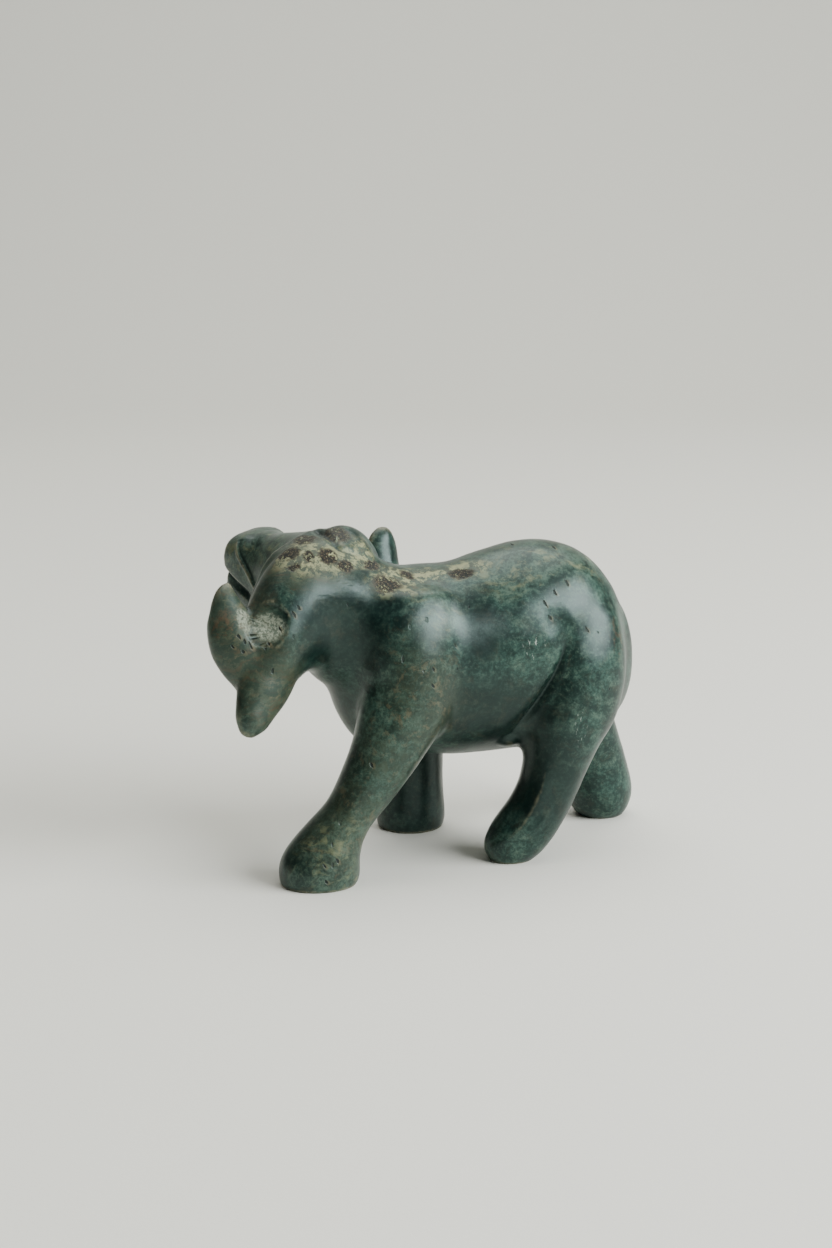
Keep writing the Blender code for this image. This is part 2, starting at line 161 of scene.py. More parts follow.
# Head stations are measured from the boss: right, forward, up, then the half-widths.
SKULL = [
    (-2.6, -9.0, -14.2, 10.4, 12.2),
    (-0.5, 0.0, -14.0, 13.5, 14.0),
    (0.0, 9.0, -13.8, 12.8, 13.9),
    (0.0, 17.0, -12.6, 10.6, 12.8),
    (0.0, 24.0, -11.6, 9.4, 12.0),
    (0.0, 30.0, -9.4, 9.8, 11.2),
    (0.0, 35.4, -6.8, 9.4, 8.2),
]
LOWER_LIP = [
    (0.0, 20.0, -15.0, 9.0, 10.4),
    (0.0, 28.0, -16.0, 9.2, 9.6),
    (0.0, 38.0, -13.8, 9.2, 6.4),
]
NOSE_PAD = [
    (0.0, 28.6, -8.0, 9.2, 9.0),
    (0.0, 32.4, -7.0, 9.4, 8.8),
    (0.0, 35.8, -5.9, 9.2, 7.9),
]
NEAR_CHEEK = [
    (6.0, -4.0, -10.0, 9.0, 9.0),
    (-4.0, -4.0, -10.0, 10.0, 10.0),
    (-12.0, -4.0, -12.2, 11.0, 10.5),
    (-20.0, -4.0, -18.8, 11.0, 10.5),
    (-26.5, -3.5, -27.0, 10.3, 10.0),
    (-32.0, -2.0, -30.0, 8.0, 8.0),
]
NEAR_HORN = [
    (2.0, -0.9, -4.4, 6.5, 6.5),
    (-3.6, -0.9, -4.6, 6.5, 6.5),
    (-8.7, -0.9, -5.5, 6.5, 6.5),
    (-13.8, -0.9, -6.9, 6.5, 6.5),
    (-18.5, -0.9, -11.1, 6.5, 6.5),
    (-22.3, -0.9, -15.6, 6.5, 6.5),
    (-26.0, -0.9, -20.6, 6.2, 6.2),
]
NEAR_TIP = [
    (-30.0, -2.0, -28.0, 9.8, 7.5),
    (-34.0, -1.0, -20.0, 8.8, 7.0),
    (-34.7, -0.5, -16.0, 7.2, 6.0),
    (-34.3, 0.0, -12.6, 5.6, 4.6),
    (-33.7, 0.3, -9.3, 4.0, 3.4),
    (-32.6, 0.5, -6.6, 2.3, 2.1),
    (-31.7, 0.5, -5.2, 1.0, 0.9),
]
FAR_HORN = [
    (0.0, -3.0, -8.5, 8.5, 8.0),
    (4.5, -2.5, -7.6, 8.0, 8.0),
    (7.8, -1.5, -10.2, 7.5, 7.5),
    (10.5, 1.6, -16.5, 7.5, 8.4),
    (15.0, 4.5, -21.5, 7.8, 8.6),
    (20.0, 6.0, -23.5, 6.8, 7.4),
]
FAR_TIP = [
    (21.6, 5.3, -22.0, 6.0, 5.4),
    (22.4, 5.3, -17.0, 5.8, 4.2),
    (23.3, 5.3, -13.0, 5.6, 3.4),
    (24.1, 5.3, -10.3, 5.2, 3.0),
    (25.2, 5.3, -8.0, 4.3, 2.5),
    (26.0, 5.3, -6.6, 2.8, 1.8),
]
NEAR_EAR = [
    (-25.0, -4.0, -26.0, 9.0, 6.5),
    (-32.0, -5.0, -33.5, 8.2, 5.8),
    (-36.8, -5.5, -38.5, 6.3, 4.4),
    (-40.3, -6.0, -42.3, 4.4, 3.2),
    (-41.5, -6.0, -43.8, 2.8, 2.0),
]
FAR_EAR = [
    (20.0, 6.0, -26.0, 8.0, 5.0),
    (25.0, 11.0, -33.0, 8.0, 4.8),
    (28.0, 14.0, -39.0, 6.5, 4.2),
    (30.0, 15.5, -43.5, 3.6, 3.0),
    (31.0, 16.0, -45.5, 0.8, 0.8),
]
# Cuts: centre x, y, z, depth, reach.
THIGH_CREASE = [
    (24.6, -22.0, 65.0, 0.0, 3.5),
    (23.6, -22.0, 60.5, 0.8, 5.0),
    (21.4, -22.0, 54.5, 1.3, 5.5),
    (17.4, -22.0, 47.2, 1.6, 5.5),
    (12.8, -22.0, 40.0, 1.3, 5.0),
    (9.0, -22.0, 34.5, 0.0, 3.0),
]
# The same on the plainer far side.
FAR_THIGH_CREASE = [
    (20.0, 24.0, 65.0, 0.0, 3.5),
    (19.6, 24.0, 58.0, 0.8, 5.0),
    (20.6, 24.0, 50.0, 1.2, 5.2),
    (24.2, 24.0, 42.0, 1.1, 5.0),
    (29.5, 24.0, 35.5, 0.0, 3.5),
]
# Soft hollows on the near side of the neck, behind the shoulder and above the thigh, laid out the same way.
NECK_HOLLOW = [
    (-37.0, -22.0, 84.0, 0.0, 8.0),
    (-37.0, -22.0, 78.0, 0.9, 10.0),
    (-37.5, -22.0, 72.0, 1.8, 10.5),
    (-37.0, -22.0, 64.0, 1.8, 10.0),
    (-36.0, -22.0, 57.0, 0.9, 9.0),
    (-35.0, -22.0, 50.0, 0.0, 8.0),
]
SHOULDER_HOLLOW = [
    (2.0, -22.0, 80.0, 0.0, 10.0),
    (1.5, -22.0, 74.0, 0.2, 12.0),
    (0.5, -22.0, 68.0, 0.3, 13.0),
    (-1.5, -22.0, 59.0, 0.4, 12.0),
    (-5.0, -22.0, 50.0, 0.0, 9.0),
]
HAUNCH_HOLLOW = [
    (19.5, -22.0, 73.0, 0.0, 4.0),
    (21.0, -22.0, 69.5, 0.5, 5.0),
    (23.4, -22.0, 65.0, 0.8, 5.0),
    (23.8, -22.0, 61.0, 0.5, 4.5),
    (22.6, -22.0, 57.0, 0.0, 4.0),
]
THIGH_LINE = [
    (24.2, -22.0, 62.0, 0.0, 1.0),
    (23.0, -22.0, 58.5, 0.4, 1.3),
    (20.4, -22.0, 52.5, 0.6, 1.6),
    (17.0, -22.0, 46.5, 0.6, 1.6),
    (13.5, -22.0, 41.0, 0.4, 1.4),
    (11.5, -22.0, 38.0, 0.0, 1.0),
]
BOSS_GROOVE = [
    (-39.2, 8.0, 92.0, 0.3, 1.6),
    (-38.9, 4.2, 92.4, 1.0, 2.2),
    (-37.7, -3.5, 91.6, 0.9, 2.2),
    (-36.4, -7.0, 89.4, 0.7, 2.0),
    (-33.0, -7.5, 87.8, 0.4, 1.8),
    (-29.5, -7.0, 86.6, 0.0, 1.5),
]
# Back edge of the nose pad: turn around the muzzle from its top in degrees, then its place forward.
PAD_EDGE = [
    (0, 14.0), (12, 18.0), (22, 22.7), (33, 27.2), (38, 29.4),
    (53, 28.5), (67, 27.5), (90, 24.9), (112, 23.0), (180, 18.0),
]
# On the head: right, forward, up, radius, depth.
NOSTRILS = [
    (-4.6, 42.5, -3.2, 1.9, 1.1),
    (4.6, 42.5, -3.2, 1.9, 1.1),
]
EYES = [
    (-12.0, 10.0, -6.5),
    (12.0, 10.0, -6.5),
]
# Crests left by the file on the near hind shin: x, y, z, height, reach.
SHIN_CREST = [
    (18.2, -22.6, 33.0, 0.0, 2.2),
    (17.2, -23.0, 23.0, 0.6, 2.8),
    (14.5, -22.9, 16.5, 0.7, 3.0),
    (9.8, -22.9, 10.0, 0.6, 2.8),
    (6.2, -21.6, 6.8, 0.1, 2.0),
]
TOE_CREST = [
    (19.5, -24.2, 16.5, 0.0, 1.6),
    (16.4, -24.1, 12.4, 0.4, 2.0),
    (11.6, -23.9, 8.5, 0.3, 2.0),
    (8.8, -23.4, 6.6, 0.0, 1.6),
]
BELLY_NUB = [(10.5, -13.5, 32.8, 4.0, 1.3)]
# Flats cut by the file or by a chip: centre, outward direction, radius.
FACETS = [
    ((-58.6, -15.9, 71.6), (-0.42, -0.8, 0.42), 6.0),
]

# Stone colours.
DEEP_GREEN = linear(4, 20, 18)
DARK_GREEN = linear(14, 37, 32)
MID_GREEN = linear(42, 68, 60)
GREY_GREEN = linear(84, 104, 90)
OLIVE = linear(60, 66, 50)
UMBER = linear(70, 58, 42)
TAN = linear(106, 96, 72)
YELLOW = linear(146, 146, 106)
EDGE_TAN = linear(132, 128, 104)
CHIP_GREY = linear(132, 138, 120)
RUST_BROWN = linear(96, 70, 50)
DARK_BROWN = linear(34, 25, 20)
PIT_DARK = linear(8, 11, 10)
NICK = linear(180, 190, 180)

# Where each mark lies in the stone: centre and radii of an ellipsoid.
OLIVE_AREAS = [
    ((-65.0, -12.0, 70.0), (8.0, 14.0, 18.0)),
    ((-58.0, -16.0, 53.0), (9.0, 9.0, 12.0)),
    ((-46.0, -8.0, 86.0), (12.0, 10.0, 7.0)),
]
PALE_AREAS = [
    ((14.0, -10.0, 82.0), (16.0, 10.0, 7.0)),
    ((30.0, -2.0, 82.0), (12.0, 14.0, 8.0)),
    ((-13.0, -17.0, 73.0), (7.0, 8.0, 6.0)),
    ((-52.0, 26.0, 86.0), (14.0, 14.0, 10.0)),
    ((-42.0, -26.0, 8.0), (11.0, 9.0, 12.0)),
]
# Painted shade: where shade falls on the neck, behind the shoulder, on the belly, the chest, the shins and
# the far foreleg, the stone is turned deep green.
SHADED_AREAS = [
    ((-36.0, -16.0, 70.0), (16.0, 12.0, 14.0)),
    ((0.0, -20.0, 66.0), (6.0, 10.0, 9.0)),
    ((12.0, -18.0, 38.0), (14.0, 16.0, 12.0)),
    ((20.0, -20.0, 20.0), (14.0, 12.0, 14.0)),
    ((-6.0, 18.0, 14.0), (14.0, 14.0, 20.0)),
    ((-34.0, 6.0, 50.0), (12.0, 18.0, 14.0)),
    ((-2.0, -20.0, 46.0), (18.0, 12.0, 9.0)),
]
VEIN_AREAS = [
    ((-44.0, -8.0, 88.5), (9.0, 8.0, 5.0)),
    ((-31.0, -6.0, 87.5), (8.0, 7.0, 3.5)),
    ((-22.0, -11.0, 79.5), (8.0, 7.0, 4.0)),
    ((-12.0, -8.0, 81.0), (7.0, 5.0, 3.0)),
    ((-1.0, -6.5, 81.5), (6.5, 5.0, 3.0)),
    ((-28.0, 12.0, 72.0), (8.0, 8.0, 8.0)),
]
BROWN_AREAS = [
    ((-18.0, -24.0, 48.0), (10.0, 9.0, 18.0)),
    ((-28.0, -22.0, 34.0), (9.0, 9.0, 12.0)),
    ((-38.0, -24.0, 16.0), (14.0, 10.0, 16.0)),
    ((-60.0, -14.0, 64.0), (10.0, 10.0, 10.0)),
]
CRUST_AREAS = [
    ((-50.0, -5.5, 88.5), (3.0, 3.0, 1.8)),
    ((-44.0, 0.5, 91.0), (3.6, 4.0, 1.6)),
    ((-45.5, -9.0, 88.5), (1.5, 1.6, 1.9)),
    ((-50.0, -11.0, 86.0), (1.5, 1.6, 0.9)),
    ((-40.0, -9.0, 88.0), (2.6, 2.4, 2.6)),
    ((-36.0, -10.5, 85.5), (2.4, 2.0, 1.8)),
    ((-35.0, -1.0, 92.0), (3.2, 4.4, 2.4)),
    ((-27.5, -8.0, 84.5), (3.4, 2.2, 1.4)),
    ((-24.5, -12.5, 79.5), (4.0, 3.0, 3.6)),
    ((-17.0, -8.0, 81.5), (2.4, 2.2, 1.4)),
    ((-2.0, -8.0, 80.5), (3.4, 2.6, 1.5)),
]
PITTED_AREAS = [
    ((-60.0, -17.0, 66.0), (9.0, 8.0, 8.0)),
    ((-17.0, -23.0, 54.0), (7.0, 8.0, 16.0)),
    ((-38.0, -26.0, 8.0), (9.0, 8.0, 10.0)),
    ((10.0, 22.0, 64.0), (26.0, 9.0, 16.0)),
]
RUST_AREAS = [
    ((40.0, -17.3, 60.5), (3.0, 4.0, 6.0)),
    ((-69.0, -15.0, 72.0), (5.0, 5.0, 3.0)),
    ((-2.0, -24.0, 42.0), (3.0, 3.0, 3.0)),
]
CHIP_AREAS = [
    ((-58.6, -16.4, 71.4), (4.4, 4.4, 3.6)),
    ((-64.6, -14.0, 72.6), (2.4, 3.0, 3.4)),
]
NICK_AREAS = [
    ((27.5, -24.8, 39.0), (1.6, 3.0, 5.0)),
    ((14.5, -21.8, 62.0), (3.0, 3.0, 4.0)),
    ((36.0, 4.0, 40.0), (6.0, 20.0, 10.0)),
]
# Deep pits: x, y, z and half length.
PITS = [
    (26.1, -5.8, 85.7, 1.1),
    (26.1, -15.9, 77.7, 0.9),
    (21.9, -17.6, 75.6, 0.9),
    (18.6, -18.7, 72.9, 1.2),
    (19.6, -20.1, 69.3, 0.8),
    (30.5, -20.1, 65.1, 1.0),
    (33.7, -19.3, 64.1, 0.6),
    (-8.2, -22.3, 63.8, 1.0),
    (15.2, -1.7, 86.4, 0.8),
    (-51.9, -17.5, 74.6, 1.0),
    (-50.4, -17.0, 76.3, 0.7),
    (-56.0, -18.2, 71.2, 1.2),
    (-63.8, -17.6, 67.2, 1.2),
    (-59.1, -18.5, 67.3, 0.7),
    (-65.9, -17.8, 65.6, 0.6),
    (-68.5, -17.1, 67.0, 0.6),
    (-66.8, -17.0, 69.5, 0.8),
    (-15.4, -24.1, 58.5, 0.9),
    (-15.8, -25.4, 54.2, 0.7),
    (-33.2, -25.9, 33.9, 0.9),
    (-47.1, -28.1, 7.6, 0.7),
    (-46.9, -28.7, 3.4, 0.7),
    (-43.5, -27.9, 8.7, 0.8),
]
PIT_LEAN = 0.35
# Millimetres between small pits, and across a flake of crust.
PIT_SPACING = 2.6
CRUST_CELL = 1.5

# Stage: name, share of the window's power, size, place, aim and colour of each light.
LIGHTS = [
    ("window", 1.0, (1.1, 0.5), (0.8, -0.72, 0.66), (0.0, 0.0, 0.05), (0.97, 0.99, 1.0)),
    ("overhead", 0.85, (1.5, 1.5), (0.16, 0.3, 1.4), (0.0, 0.0, 0.0), (1.0, 0.99, 0.96)),
]
WORLD_COLOUR = (0.78, 0.8, 0.8, 1.0)
WORLD_STRENGTH = 0.1
CAMERA_TURN = -18.0
CAMERA_PLACE = (-0.19331, -0.5866, 0.2053)
CAMERA_AIM = (0.301172, 0.926902, -0.223930)

# ---------------------------------------------------------------- form


def spread(rows, count):
    """Carries the stations onto count even steps: a cubic through each, sloped by its neighbours."""
    rows = np.array(rows, float)
    at = np.concatenate([[0.0], np.cumsum(np.linalg.norm(np.diff(rows[:, :3], axis=0), axis=1))])
    slope = np.gradient(rows, at, axis=0)
    step = np.linspace(0.0, at[-1], count)
    first = np.clip(np.searchsorted(at, step, side="right") - 1, 0, len(at) - 2)
    gap = (at[first + 1] - at[first])[:, None]
    k = (step - at[first])[:, None] / gap
    return (
        (1 + 2 * k) * (1 - k) ** 2 * rows[first]
        + k * (1 - k) ** 2 * gap * slope[first]
        + k**2 * (3 - 2 * k) * rows[first + 1]
        + k**2 * (k - 1) * gap * slope[first + 1]
    )


def unit(vectors):
    return vectors / np.linalg.norm(vectors, axis=-1, keepdims=True)


def loft(rows, across, facing=None, power=2.0, edge=0.0, count=60, sides=48, cap=0.6):
    """A closed skin of rings along a path, domed at both ends.

    Ring point = centre + half1 * sgn(cos a) |cos a|^(2/power) * wide + half2 * sgn(sin a)
    |sin a|^(2/power) * |sin(a/2)|^edge * tall, where wide is across made square to the path
    (or to facing) and tall is square to both. With edge at 1 it is a teardrop, its corner on wide.
    """
    path = spread(rows, count)
    along = unit(np.gradient(path[:, :3], axis=0)) if facing is None else np.tile(facing, (count, 1))
    wide = unit(across - (along @ across)[:, None] * along)
    dome = np.linspace(np.pi / 2, 0.0, 9)[:-1]
    parts = []
    for end, sign, turn in ((0, -1.0, dome), (-1, 1.0, dome[::-1])):
        reach = cap * path[end, 3:].min()
        rings = np.zeros((len(turn), 5))
        rings[:, :3] = path[end, :3] + sign * reach * np.sin(turn)[:, None] * along[end]
        rings[:, 3:] = np.cos(turn)[:, None] * path[end, 3:] + 0.01
        parts.append((rings, np.tile(along[end], (len(turn), 1)), np.tile(wide[end], (len(turn), 1))))
    path = np.concatenate([parts[0][0], path, parts[1][0]])
    along = np.concatenate([parts[0][1], along, parts[1][1]])
    wide = np.concatenate([parts[0][2], wide, parts[1][2]])
    tall = np.cross(along, wide)
    angle = np.linspace(0.0, 2 * np.pi, sides, endpoint=False)
    c = np.sign(np.cos(angle)) * np.abs(np.cos(angle)) ** (2 / power)
    s = np.sign(np.sin(angle)) * np.abs(np.sin(angle)) ** (2 / power)
    s = s * np.abs(np.sin(angle / 2)) ** edge
    return (
        path[:, None, :3]
        + c[None, :, None] * path[:, 3:4, None] * wide[:, None]
        + s[None, :, None] * path[:, 4:5, None] * tall[:, None]
    )


def head_axes():
    """The head's own right, forward and up, after its turn, roll and drop of the nose."""
    turn, roll, drop = np.radians([HEAD_TURN, HEAD_ROLL, NOSE_DROP])
    ahead = -np.cos(turn) * X_AXIS + np.sin(turn) * Y_AXIS
    level = np.sin(turn) * X_AXIS + np.cos(turn) * Y_AXIS
    right = level * np.cos(roll) + Z_AXIS * np.sin(roll)
    crown = Z_AXIS * np.cos(roll) - level * np.sin(roll)
    forward = ahead * np.cos(drop) - crown * np.sin(drop)
    return right, forward, crown * np.cos(drop) + ahead * np.sin(drop)


RIGHT, FORWARD, UP = head_axes()


def on_head(rows):
    """Moves stations given as right, forward and up of the boss into the carver's frame."""
    rows = np.array(rows, float)
    centre = BOSS_TOP + rows[:, :1] * RIGHT + rows[:, 1:2] * FORWARD + rows[:, 2:3] * UP
    return np.hstack([centre, rows[:, 3:]])


def in_head(points):
    """Right, forward and up of the boss, for points in the carver's frame."""
    return (points - BOSS_TOP) @ np.array([RIGHT, FORWARD, UP]).T


def loft_horn(rows, power=1.8):
    """A horn or ear: the first half-width lies in the plane of the crescent, the second front to back."""
    return loft(on_head(np.array(rows)[:, [0, 1, 2, 4, 3]]), FORWARD, power=power)


def blank(skins):
    """One mesh holding each skin as a closed tube of quads with flat ends, still overlapping."""
    verts, faces, start = [], [], 0
    for skin in skins:
        rings, sides = skin.shape[:2]
        index = start + np.arange(rings * sides).reshape(rings, sides)
        after = np.roll(index, -1, axis=1)
        quads = np.stack([index[:-1], after[:-1], after[1:], index[1:]], axis=2).reshape(-1, 4)
        verts.append(skin.reshape(-1, 3))
        faces += quads.tolist() + [index[0, ::-1].tolist(), index[-1].tolist()]
        start += rings * sides
    mesh = bpy.data.meshes.new("blank")
    mesh.from_pydata(np.concatenate(verts), [], faces)
    work = bmesh.new()
    work.from_mesh(mesh)
    bmesh.ops.recalc_face_normals(work, faces=work.faces)
    work.to_mesh(mesh)
    work.free()
    return mesh


def finished(mesh, settings, share=None):
    """The mesh after one modifier of each kind and settings, the last weighted by share."""
    obj = bpy.data.objects.new("block", mesh)
    bpy.context.scene.collection.objects.link(obj)
    if share is not None:
        group = obj.vertex_groups.new(name="share")
        steps = np.round(share, 1)
        for level in np.unique(steps):
            group.add(np.nonzero(steps == level)[0].tolist(), float(level), "REPLACE")
    for kind, values in settings:
        modifier = obj.modifiers.new(kind, kind)
        for name, value in values.items():
            setattr(modifier, name, value)
        if share is not None:
            modifier.vertex_group = "share"
    done = bpy.data.meshes.new_from_object(obj.evaluated_get(bpy.context.evaluated_depsgraph_get()))
    bpy.data.objects.remove(obj)
    return done


def fused(meshes, voxel, passes):
    """Joins meshes into one skin on a grid of voxels and rubs it down: the blends grow with passes."""
    work = bmesh.new()
    for mesh in meshes:
        work.from_mesh(mesh)
    joined = bpy.data.meshes.new("joined")
    work.to_mesh(joined)
    work.free()
    return finished(joined, [
        ("REMESH", {"mode": "VOXEL", "voxel_size": voxel}),
        ("SMOOTH", {"factor": 0.5, "iterations": passes}),
    ])


def coordinates(mesh):
    points = np.empty(3 * len(mesh.vertices), np.float32)
    mesh.vertices.foreach_get("co", points)
    return points.reshape(-1, 3).astype(float)


def directions(mesh):
    normals = np.empty(3 * len(mesh.vertices), np.float32)
    mesh.vertex_normals.foreach_get("vector", normals)
    return normals.reshape(-1, 3).astype(float)


def move(mesh, points):
    mesh.vertices.foreach_set("co", points.astype(np.float32).ravel())
    mesh.update()


def nape(points):
    """How far each point lies on the back of the head, from 0 to 1."""
    side, ahead, above = in_head(points).T
    behind = np.clip((-1.0 - ahead) / 4.0, 0.0, 1.0)
    return behind * np.clip((above + 32.0) / 4.0, 0.0, 1.0) * np.clip((6.0 - side) / 6.0, 0.0, 1.0)


# ---------------------------------------------------------------- carving


def nearest(points, line):
    """Distance to a line of points, and the line's nearest row, for each point."""
    gap = np.full(len(points), np.inf)
    row = np.zeros(len(points), int)
    for k, spot in enumerate(line[:, :3]):
        reach = np.linalg.norm(points - spot, axis=1)
        closer = reach < gap
        gap[closer] = reach[closer]
        row[closer] = k
    return gap, line[row]


def groove(points, rows, sharp=2.0):
    """Depth of a cut along a line: depth * (1 - distance / reach)^sharp.

    Its stations are x, y, z, depth and reach.
    """
    line = spread(rows, 50)
    gap, row = nearest(points, line)
    return row[:, 3] * np.clip(1.0 - gap / np.maximum(row[:, 4], 0.01), 0.0, 1.0) ** sharp


def pressed(points, normals, rows, inward, sharp=2.0, bend=1.0):
    """The same cut, seen along inward: distances are taken square to it, on the side that faces it.

    Depth falls off as (1 - (distance / reach)^bend)^sharp: a crease with bend at 1, a soft hollow with 2.
    """
    line = spread(rows, 50)
    line[:, :3] -= (line[:, :3] @ inward)[:, None] * inward
    gap, row = nearest(points - (points @ inward)[:, None] * inward, line)
    fall = np.clip(1.0 - (gap / np.maximum(row[:, 4], 0.01)) ** bend, 0.0, 1.0) ** sharp
    return row[:, 3] * fall * np.clip(-2.0 * (normals @ inward), 0.0, 1.0)


def dents(points, spots):
    """Round dents: depth * (1 - (distance / radius)^2)^2, each spot x, y, z, radius, depth."""
    depth = np.zeros(len(points))
    for x, y, z, radius, deep in spots:
        near = np.clip(1.0 - ((points - (x, y, z)) ** 2).sum(axis=1) / radius**2, 0.0, 1.0) ** 2
        depth = np.maximum(depth, deep * near)
    return depth


def planed(points, centre, normal, radius):
    """Cuts what stands above a plane back to it, within radius of its centre."""
    normal = unit(np.array(normal, float))
    above = (points - centre) @ normal
    near = np.linalg.norm(points - centre, axis=1) < radius
    return points - (np.clip(above, 0.0, None) * near)[:, None] * normal


def waves(points):
    """What the hand leaves in a rubbed face.

    Swells of 0.16 mm about 9 mm apart and of 0.05 mm about 3.5 mm apart.
    """
    return np.array([
        0.16 * noise.noise(point / 9.0) + 0.05 * noise.noise(point / 3.5) for point in map(Vector, points)
    ])


# Its low end sets painted shade in the cuts; its high end marks rubbed pale edges.
def wear(mesh):
    """How far each point stands proud, from 0 in a cut through 0.5 on a flat to 1 on an edge.

    It is 0.5 + 0.8 * the mean over its edges of (difference of directions . edge) / length^2, rubbed twice.
    """
    points, normals = coordinates(mesh), directions(mesh)
    ends = np.empty(2 * len(mesh.edges), np.int32)
    mesh.edges.foreach_get("vertices", ends)
    first, last = ends.reshape(-1, 2).T
    along = points[last] - points[first]
    bend = ((normals[last] - normals[first]) * along).sum(axis=1) / np.maximum((along**2).sum(axis=1), 1e-4)
    count = np.bincount(first, minlength=len(points)) + np.bincount(last, minlength=len(points))
    bent = (np.bincount(first, bend, len(points)) + np.bincount(last, bend, len(points))) / count
    for _ in range(2):
        near = np.bincount(first, bent[last], len(points)) + np.bincount(last, bent[first], len(points))
        bent = (bent + near / count) / 2
    return np.clip(0.5 + 0.8 * bent, 0.0, 1.0)


def carve(mesh):
    """Presses and raises the small forms into the skin, each along the skin's own direction."""
    points, normals = coordinates(mesh), directions(mesh)
    points = points + pressed(points, normals, THIGH_CREASE, Y_AXIS)[:, None] * Y_AXIS
    points = points - pressed(points, normals, FAR_THIGH_CREASE, -Y_AXIS)[:, None] * Y_AXIS
    for hollow in (NECK_HOLLOW, SHOULDER_HOLLOW, HAUNCH_HOLLOW):
        points = points + pressed(points, normals, hollow, Y_AXIS, 2.0, 2.0)[:, None] * Y_AXIS
    depth = pressed(points, normals, THIGH_LINE, Y_AXIS, 1.0)
    depth += groove(points, BOSS_GROOVE, 1.3)
    depth -= groove(points, SHIN_CREST, 1.2) + groove(points, TOE_CREST, 1.2) + dents(points, BELLY_NUB)
    side, ahead, above = in_head(points).T
    turn, place = np.array(PAD_EDGE).T
    round_muzzle = np.degrees(np.arctan2(np.abs(side), above + 8.0))
    pad = ahead - np.interp(round_muzzle, turn, place)
    muzzle = np.clip((ahead - 6.0) / 8.0, 0.0, 1.0) * (np.hypot(side, above + 10.0) < 18.0)
    muzzle = muzzle * np.clip((round_muzzle - 30.0) / 30.0, 0.0, 1.0)
    depth += 0.55 * np.clip(0.5 - pad, 0.0, 1.0) * np.exp(np.minimum(pad, 0.0) / 6.0) * muzzle
    depth -= 0.35 * np.exp(-((pad - 0.6) / 0.6) ** 2) * muzzle
    lips = 0.8 * np.abs(above + 9.0 + 0.75 * (36.0 - ahead))
    front = np.clip((ahead - 25.0) / 4.0, 0.0, 1.0)
    depth += 1.3 * np.clip(1.0 - lips / 2.2, 0.0, 1.0) ** 1.4 * front * muzzle
    depth += dents(points, on_head(NOSTRILS))
    for eye in EYES:
        place = on_head([eye[:3] + (0.0, 0.0)])[0, :3]
        gap = np.linalg.norm(points - place, axis=1)
        depth += 0.5 * np.clip(1.0 - np.abs(gap - 2.6) / 0.9, 0.0, 1.0)
        depth -= 0.7 * np.clip(1.0 - (gap / 2.3) ** 2, 0.0, 1.0)
    points = points - depth[:, None] * normals
    points = points - waves(points)[:, None] * normals
    for centre, normal, radius in FACETS:
        points = planed(points, np.array(centre), normal, radius)
    move(mesh, points)


def cut_soles(mesh):
    """Cuts the soles flat on the ground and closes them."""
    work = bmesh.new()
    work.from_mesh(mesh)
    bmesh.ops.bisect_plane(
        work, geom=work.verts[:] + work.edges[:] + work.faces[:], plane_co=(0, 0, 0), plane_no=(0, 0, -1),
        clear_outer=True,
    )
    bmesh.ops.holes_fill(work, edges=[edge for edge in work.edges if edge.is_boundary])
    bmesh.ops.triangulate(work, faces=work.faces, ngon_method="EAR_CLIP")
    work.to_mesh(mesh)
    work.free()


def carved_mesh(grain):
    """The whole figurine, in the carver's millimetres, on a grid of grain."""
    body = fused([blank([
        loft(TRUNK, Y_AXIS, facing=X_AXIS, cap=0.35),
        loft(NECK, Y_AXIS),
        loft_horn(NEAR_CHEEK),
        loft(NEAR_FORELEG, X_AXIS, cap=0.4),
        loft(FAR_FORELEG, X_AXIS, cap=0.4),
        loft(NEAR_HINDLEG, X_AXIS, cap=0.4),
        loft(FAR_HINDLEG, X_AXIS, cap=0.4),
    ])], 1.2, 24)
    head = fused([blank([
        loft(on_head(SKULL), RIGHT, cap=0.35),
        loft(on_head(LOWER_LIP), RIGHT),
        loft(on_head(NOSE_PAD), RIGHT, power=3.0, cap=0.35),
        loft(on_head(NEAR_HORN), 0.6 * FORWARD + 0.8 * UP, edge=1.0, sides=60),
        loft_horn(NEAR_TIP),
        loft_horn(FAR_HORN),
        loft_horn(FAR_TIP, 1.5),
        loft_horn(NEAR_EAR),
        loft_horn(FAR_EAR),
        loft(TAIL, Y_AXIS),
    ])], 0.8, 4)
    passes = round(5 * (0.8 / grain) ** 2)
    mesh = fused([body, head], grain, passes)
    mesh = finished(
        mesh, [("SMOOTH", {"factor": 0.5, "iterations": 24 * round((0.8 / grain) ** 2)})],
        nape(coordinates(mesh)),
    )
    carve(mesh)
    mesh = finished(mesh, [("DECIMATE", {"ratio": min(1.0, TRIANGLES / (2 * len(mesh.polygons)))})])
    cut_soles(mesh)
    mesh.attributes.new("wear", "FLOAT", "POINT").data.foreach_set("value", wear(mesh).astype(np.float32))
    return mesh


# ---------------------------------------------------------------- materials


